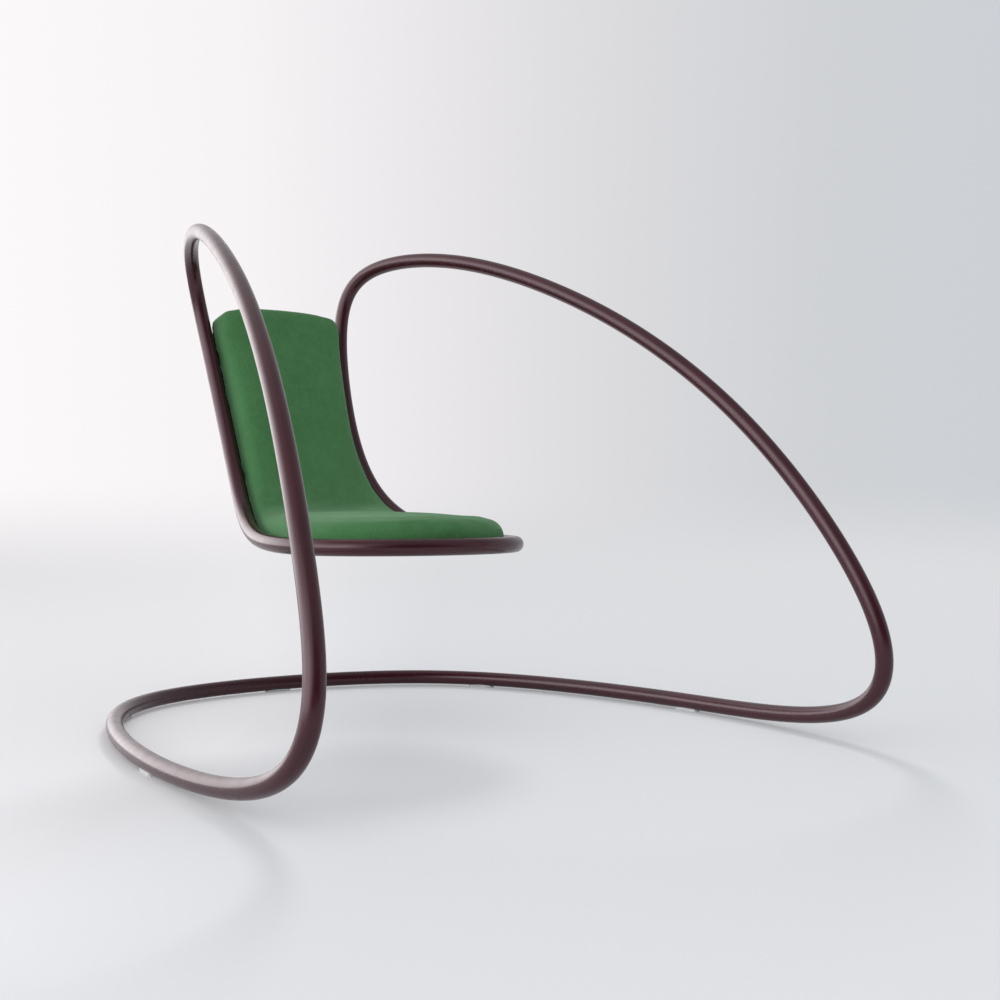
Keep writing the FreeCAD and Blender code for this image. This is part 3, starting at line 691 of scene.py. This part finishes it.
def upholstered_pad():
    """Seat and back in one sweep, with the swell of stuffed cloth."""
    rows = pad_rows(START_INSET)
    widest = max(row.half_width for row in rows)
    for row in rows:
        row.face -= START_DROP
    rings = [section_points(row, widest, SHELL_BACK, START_DRAW) for row in rows]
    pad = new_object("upholstered_pad", *skinned(rings), GREEN)
    remesh = pad.modifiers.new("remesh", "REMESH")
    remesh.mode = "VOXEL"
    remesh.voxel_size = VOXEL
    apply_modifiers(pad)
    add_smoothing(pad)
    apply_modifiers(pad)
    swell(pad)
    add_smoothing(pad)
    pad.modifiers.new("finer", "SUBSURF").levels = 1
    apply_modifiers(pad)
    for polygon in pad.data.polygons:
        polygon.use_smooth = True
    write_cloth_attributes(pad.data)
    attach(pad, "root")
    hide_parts("seat_cover", "seat_foam")


upholstered_pad()


# The lining behind the shell, with a rolled and stitched edge

SOFT_GAP = 0.3 * MM
LINING_THICKNESS = 1.2 * MM
LINING_FACE = SHELL_BACK - SOFT_GAP
LINING_BACK = LINING_FACE - LINING_THICKNESS
LINING_INSET = 1.5 * MM
LINING_COLUMNS = 24


def lining_panel():
    """Cloth that closes the back of the shell, with a rolled edge."""
    middle = (LINING_FACE + LINING_BACK) / 2
    rings = []
    for row in pad_rows(LINING_INSET):
        wide = row.half_width
        columns = [wide * (1 - 2 * i / LINING_COLUMNS) for i in range(1, LINING_COLUMNS)]
        face = [row.place(across, LINING_FACE) for across in columns]
        back = [row.place(-across, LINING_BACK) for across in columns]
        rings.append(face + [row.place(-wide, middle)] + back + [row.place(wide, middle)])
    lining = new_object("rear_lining_cloth", *skinned(rings), LINING)
    write_cloth_attributes(lining.data)
    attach(lining, "root")
    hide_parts("back_lining")


lining_panel()

STITCH_INSET = 9 * MM
STITCH_PITCH = 6.5 * MM
STITCH_LENGTH = 4.2 * MM
STITCH_RADIUS = 0.45 * MM
STITCH_SIDES = 6

# Places along half a stitch and its radius there, as shares
STITCH_SHARES = [(-1.0, 0.35), (-0.7, 0.9), (0.0, 1.0), (0.7, 0.9), (1.0, 0.35)]


def along_path(path, pitch):
    """Places and directions at even steps along a closed path."""
    places, carry = [], 0.0
    for one, two in zip(path, path[1:] + path[:1]):
        run = (two - one).length
        while carry < run:
            places.append((one.lerp(two, carry / run), (two - one) / run))
            carry += pitch
        carry -= run
    return places


def lining_stitches():
    """A running stitch round the back of the lining, a little way in from its edge."""
    rows = pad_rows(LINING_INSET + STITCH_INSET)
    left = [row.place(row.half_width, LINING_BACK) for row in rows]
    path = left + [mirrored(point) for point in reversed(left)]
    half = STITCH_LENGTH / 2
    stitches = []
    radii = [STITCH_RADIUS * share for _, share in STITCH_SHARES]
    for place, way in along_path(path, STITCH_PITCH):
        points = [place + way * (half * share) for share, _ in STITCH_SHARES]
        stitches.append(tube_geometry(points, [way] * len(points), radii, STITCH_SIDES))
    thread = merged_object("lining_stitches", stitches, THREAD)
    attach(thread, "root")


lining_stitches()


# Weld beads between the lugs and the tube

LUG_HALF_WIDTH = 14 * MM
LUG_THICKNESS = 4 * MM
LUG_FACE = LINING_BACK - SOFT_GAP
LUG_BACK = LUG_FACE - LUG_THICKNESS
BEAD_RADIUS = 1.5 * MM
BEAD_STANDS_OUT = BEAD_RADIUS / 3
BEAD_STEPS = 40
BEAD_SIDES = 10
BEAD_TAPER = 4
BEAD_END_SHARE = 0.2
RIPPLE_PITCH = 2.2 * MM
RIPPLE_SHARE = 0.12


def weld_bead(station, side, lift):
    """A rippled bead along the line where a lug's face meets the tube."""
    centre, inward, normal, _ = seat_axes(station)
    if side < 0:
        centre, inward = mirrored(centre), mirrored(inward)
    along = normal.cross(inward)
    reach = math.sqrt(TUBE_RADIUS**2 - lift**2) + BEAD_STANDS_OUT
    points, radii = [], []
    for i in range(BEAD_STEPS + 1):
        share = 2 * i / BEAD_STEPS - 1
        place = LUG_HALF_WIDTH * share
        points.append(centre + inward * reach + along * place + normal * lift)
        taper = min(1.0, BEAD_TAPER * (1 - abs(share)) + BEAD_END_SHARE)
        radii.append(BEAD_RADIUS * taper * (1 + RIPPLE_SHARE * math.sin(2 * math.pi * place / RIPPLE_PITCH)))
    return tube_geometry(points, [along] * len(points), radii, BEAD_SIDES)


def lug_welds():
    """Two beads at each lug; the front lug is the only one on the middle line."""
    beads = [weld_bead(station, side, lift)
             for station in LUG_STATIONS
             for side in ((1, -1) if station else (1,))
             for lift in (LUG_FACE, LUG_BACK)]
    welds = merged_object("lug_weld_beads", beads, PAINT)
    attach(welds, "root")


lug_welds()


# Studio: a pale floor and a backdrop, both with painted light, lighter on the left and darker on the right,
# and soft lights. Studio: a pale floor, a backdrop with the photo's soft gradient, and soft lights

def stage_plane(name, corners, material):
    plane = new_object(name, [Vector(corner) for corner in corners], [(0, 1, 2, 3)], material, False)


CAMERA_PLACE = Vector((-1.3774, -2.2653, 0.4401))
CAMERA_TURN = math.radians(55.31 - 90)
CAMERA_PITCH = math.radians(0.094)
FOCAL_PIXELS = 1360.1
IMAGE_PIXELS = 1000
SENSOR = 36.0
CLIP_START = 0.05
CLIP_END = 200
FLOOR_REACH = 60.0

# Painted light: the backdrop's colours from the view's left to its right, and the floor's, as (share,
# colour), lighter on the left and darker on the right as the light falls
WALL_PAINTED_LIGHT = [
    (0.0, (0.98, 0.95, 0.96, 1)), (0.25, (0.93, 0.90, 0.92, 1)), (0.55, (0.74, 0.73, 0.75, 1)),
    (0.8, (0.63, 0.645, 0.67, 1)), (1.0, (0.61, 0.63, 0.66, 1)),
]
FLOOR_PAINTED_LIGHT = [
    (0.0, (0.785, 0.775, 0.79, 1)), (0.15, (0.80, 0.79, 0.81, 1)), (0.24, (0.815, 0.805, 0.825, 1)),
    (0.30, (0.79, 0.785, 0.805, 1)), (0.37, (0.75, 0.755, 0.775, 1)), (0.47, (0.715, 0.72, 0.74, 1)),
    (1.0, (0.715, 0.725, 0.745, 1)),
]
TONE_SPREAD = 1.4
MEET_TOP = 0.02
MEET_DEPTH = 0.0735
EYE_HEIGHT = 0.44
NEAR_REACH = 1.5
NEAR_GLOW = 0.2
GLOW_FIRST = 1.5
GLOW_LAST = 5.5
FLOOR_ROUGHNESS = 0.6
FLOOR_SHINE = 0.1


def sideways_place(nodes, links, vector):
    """X and Y of a vector, and how far it lies to the right of the photographed view."""
    separate = nodes.new("ShaderNodeSeparateXYZ")
    links.new(vector, separate.inputs["Vector"])
    sideways = add_math(nodes, links, "ADD",
                        add_math(nodes, links, "MULTIPLY", separate.outputs["X"], math.cos(CAMERA_TURN)),
                        add_math(nodes, links, "MULTIPLY", separate.outputs["Y"], math.sin(CAMERA_TURN)))
    return separate, sideways


def painted_studio_light(nodes, links, sideways, meeting):
    """Backdrop colour turning into floor colour where the meeting value goes from 0 to 1; both carry painted
    light, lighter on the left.
    """
    spread = add_math(nodes, links, "ADD", add_math(nodes, links, "MULTIPLY", sideways, TONE_SPREAD), 0.5)
    blend = nodes.new("ShaderNodeMix")
    blend.data_type = "RGBA"
    links.new(meeting, blend.inputs["Factor"])
    links.new(add_ramp(nodes, links, spread, WALL_PAINTED_LIGHT), blend.inputs[6])
    links.new(add_ramp(nodes, links, spread, FLOOR_PAINTED_LIGHT), blend.inputs[7])
    return blend.outputs[2]


def eased_range(nodes, links, value, low, high):
    """0 at the low value and 1 at the high one, with an eased change between them."""
    node = nodes.new("ShaderNodeMapRange")
    node.interpolation_type = "SMOOTHSTEP"
    links.new(value, node.inputs["Value"])
    node.inputs["From Min"].default_value = low
    node.inputs["From Max"].default_value = high
    return node.outputs["Result"]


def kept_share(nodes, links, value, low, high, left):
    """1 below the low value, falling to the share left above the high one."""
    over = eased_range(nodes, links, value, high, low)
    return add_math(nodes, links, "ADD", add_math(nodes, links, "MULTIPLY", over, 1 - left), left)


def shown_rays(nodes, links):
    """1 for rays that show the studio itself: straight, mirrored or refracted to the camera."""
    path = nodes.new("ShaderNodeLightPath")
    turned = add_math(nodes, links, "MAXIMUM",
                      path.outputs["Is Glossy Ray"], path.outputs["Is Transmission Ray"])
    return add_math(nodes, links, "MAXIMUM", path.outputs["Is Camera Ray"], turned), path


def floor_material():
    """Pale floor that keeps the chair's shadow, with painted light lighter on the left, and turns into the
    backdrop far away.
    """
    material, nodes, links, shader = new_material("studio_floor")
    separate, sideways = sideways_place(nodes, links, object_coordinates(nodes))
    square = add_math(nodes, links, "ADD",
                      add_math(nodes, links, "MULTIPLY", separate.outputs["X"], separate.outputs["X"]),
                      add_math(nodes, links, "MULTIPLY", separate.outputs["Y"], separate.outputs["Y"]))
    distance = add_math(nodes, links, "SQRT", square, 0.0)
    aside = add_math(nodes, links, "DIVIDE", sideways, add_math(nodes, links, "ADD", distance, NEAR_REACH))
    from_eye = add_math(nodes, links, "ADD", distance, CAMERA_PLACE.xy.length)
    slope = add_math(nodes, links, "DIVIDE", EYE_HEIGHT, from_eye)
    meeting = eased_range(nodes, links, slope, -MEET_TOP, MEET_DEPTH - MEET_TOP)
    # The floor's colour is painted light: lighter on the left, darker on the right.
    tone = painted_studio_light(nodes, links, aside, meeting)
    links.new(tone, shader.inputs["Base Color"])
    shader.inputs["Roughness"].default_value = FLOOR_ROUGHNESS
    shader.inputs["Specular IOR Level"].default_value = FLOOR_SHINE
    glow = nodes.new("ShaderNodeEmission")
    links.new(tone, glow.inputs["Color"])
    far = eased_range(nodes, links, distance, GLOW_FIRST, GLOW_LAST)
    share = add_math(nodes, links, "ADD", add_math(nodes, links, "MULTIPLY", far, 1 - NEAR_GLOW), NEAR_GLOW)
    seen, _ = shown_rays(nodes, links)
    mix = nodes.new("ShaderNodeMixShader")
    links.new(add_math(nodes, links, "MULTIPLY", share, seen), mix.inputs["Fac"])
    links.new(shader.outputs["BSDF"], mix.inputs[1])
    links.new(glow.outputs["Emission"], mix.inputs[2])
    links.new(mix.outputs["Shader"], nodes["Material Output"].inputs["Surface"])
    return material


stage_plane("studio_floor", [
    (-FLOOR_REACH, -FLOOR_REACH, 0), (FLOOR_REACH, -FLOOR_REACH, 0),
    (FLOOR_REACH, FLOOR_REACH, 0), (-FLOOR_REACH, FLOOR_REACH, 0)], floor_material())

# The world's light. A direction's height is its Z, and its place from left to right goes
# from -1 to 1. Mirrored rays see the panel higher up than soft light does.
STUDIO_LIGHT = 0.69
STUDIO_TINT = (0.97, 0.985, 1.0, 1)
PANEL_LIGHT = 2.8
PANEL_EDGE = -0.2
PANEL_SIDE = -0.8
PANEL_FULL = 0.25
PANEL_TOP = 0.5
MIRRORED_PANEL_TOP = 0.9

# Mirrored rays see a dim patch behind the camera and a dimmer ceiling
DIM_TURN = math.radians(30)
DIM_EDGE = 0.6
DIM_FULL = 0.94
DIM_LEFT = 0.1
CEILING_EDGE = 0.3
CEILING_FULL = 0.65
CEILING_LEFT = 0.75


def studio_world():
    """Soft even light, a bright panel low on the left, and a pale backdrop with painted light, lighter on the
    left.
    """
    world = bpy.data.worlds.new("studio")
    bpy.context.scene.world = world
    world.use_nodes = True
    nodes, links = world.node_tree.nodes, world.node_tree.links
    nodes.clear()
    output = nodes.new("ShaderNodeOutputWorld")
    light = nodes.new("ShaderNodeBackground")
    light.inputs["Color"].default_value = STUDIO_TINT
    shown = nodes.new("ShaderNodeBackground")
    separate, sideways = sideways_place(nodes, links, nodes.new("ShaderNodeTexCoord").outputs["Generated"])
    meeting = eased_range(nodes, links, separate.outputs["Z"], MEET_TOP, MEET_TOP - MEET_DEPTH)
    # The backdrop's colour is painted light: lighter on the left, darker on the right.
    links.new(painted_studio_light(nodes, links, sideways, meeting), shown.inputs["Color"])
    ahead = add_math(nodes, links, "ADD",
                     add_math(nodes, links, "MULTIPLY", separate.outputs["X"], -math.sin(CAMERA_TURN)),
                     add_math(nodes, links, "MULTIPLY", separate.outputs["Y"], math.cos(CAMERA_TURN)))
    behind = add_math(nodes, links, "SUBTRACT",
                      add_math(nodes, links, "MULTIPLY", sideways, math.sin(DIM_TURN)),
                      add_math(nodes, links, "MULTIPLY", ahead, math.cos(DIM_TURN)))
    room = add_math(nodes, links, "MULTIPLY",
                    kept_share(nodes, links, behind, DIM_EDGE, DIM_FULL, DIM_LEFT),
                    kept_share(nodes, links, separate.outputs["Z"], CEILING_EDGE, CEILING_FULL, CEILING_LEFT))
    panel = add_math(nodes, links, "MULTIPLY",
                     eased_range(nodes, links, sideways, PANEL_EDGE, PANEL_SIDE), PANEL_LIGHT)
    low_panel, tall_panel = (
        add_math(nodes, links, "MULTIPLY", panel,
                 eased_range(nodes, links, separate.outputs["Z"], top, PANEL_FULL))
        for top in (PANEL_TOP, MIRRORED_PANEL_TOP))
    links.new(add_math(nodes, links, "ADD", low_panel, STUDIO_LIGHT), light.inputs["Strength"])
    seen, path = shown_rays(nodes, links)
    straight = path.outputs["Is Camera Ray"]
    mirrored_strength = add_math(nodes, links, "ADD", room, tall_panel)
    strength = nodes.new("ShaderNodeMix")
    links.new(straight, strength.inputs["Factor"])
    links.new(mirrored_strength, strength.inputs[2])
    strength.inputs[3].default_value = 1.0
    links.new(strength.outputs[0], shown.inputs["Strength"])
    chooser = nodes.new("ShaderNodeMixShader")
    links.new(seen, chooser.inputs["Fac"])
    links.new(light.outputs["Background"], chooser.inputs[1])
    links.new(shown.outputs["Background"], chooser.inputs[2])
    links.new(chooser.outputs["Shader"], output.inputs["Surface"])


studio_world()

FILL_PLACE = Vector((-2.8, -1.6, 2.2))
FILL_TARGET = Vector((0, 0, 0.4))
FILL_SIZE = 2.5
FILL_POWER = 14
KEY_FROM = Vector((0.951, 1.287, 1.0))
KEY_SPREAD = math.radians(11)
KEY_POWER = 1.2


def lamps():
    """A weak fill on the left, and a soft key from behind that mirrored rays don't see."""
    data = bpy.data.lights.new("fill_softbox", "AREA")
    data.shape = "RECTANGLE"
    data.size = data.size_y = FILL_SIZE
    data.energy = FILL_POWER
    fill = linked_object("fill_softbox", data)
    fill.location = FILL_PLACE
    fill.rotation_euler = (FILL_TARGET - FILL_PLACE).to_track_quat("-Z", "Y").to_euler()
    data = bpy.data.lights.new("key_light", "SUN")
    data.energy = KEY_POWER
    data.angle = KEY_SPREAD
    key = linked_object("key_light", data)
    key.rotation_euler = KEY_FROM.to_track_quat("Z", "Y").to_euler()
    key.visible_glossy = False


def photo_camera():
    """The camera as it stood for the photo."""
    data = bpy.data.cameras.new("photo_camera")
    data.sensor_width = SENSOR
    data.lens = FOCAL_PIXELS / IMAGE_PIXELS * SENSOR
    data.clip_start = CLIP_START
    data.clip_end = CLIP_END
    camera = linked_object("photo_camera", data)
    camera.location = CAMERA_PLACE
    camera.rotation_euler = (math.radians(90) + CAMERA_PITCH, 0, CAMERA_TURN)
    bpy.context.scene.camera = camera


lamps()
photo_camera()

bpy.context.scene.view_settings.view_transform = "Standard"
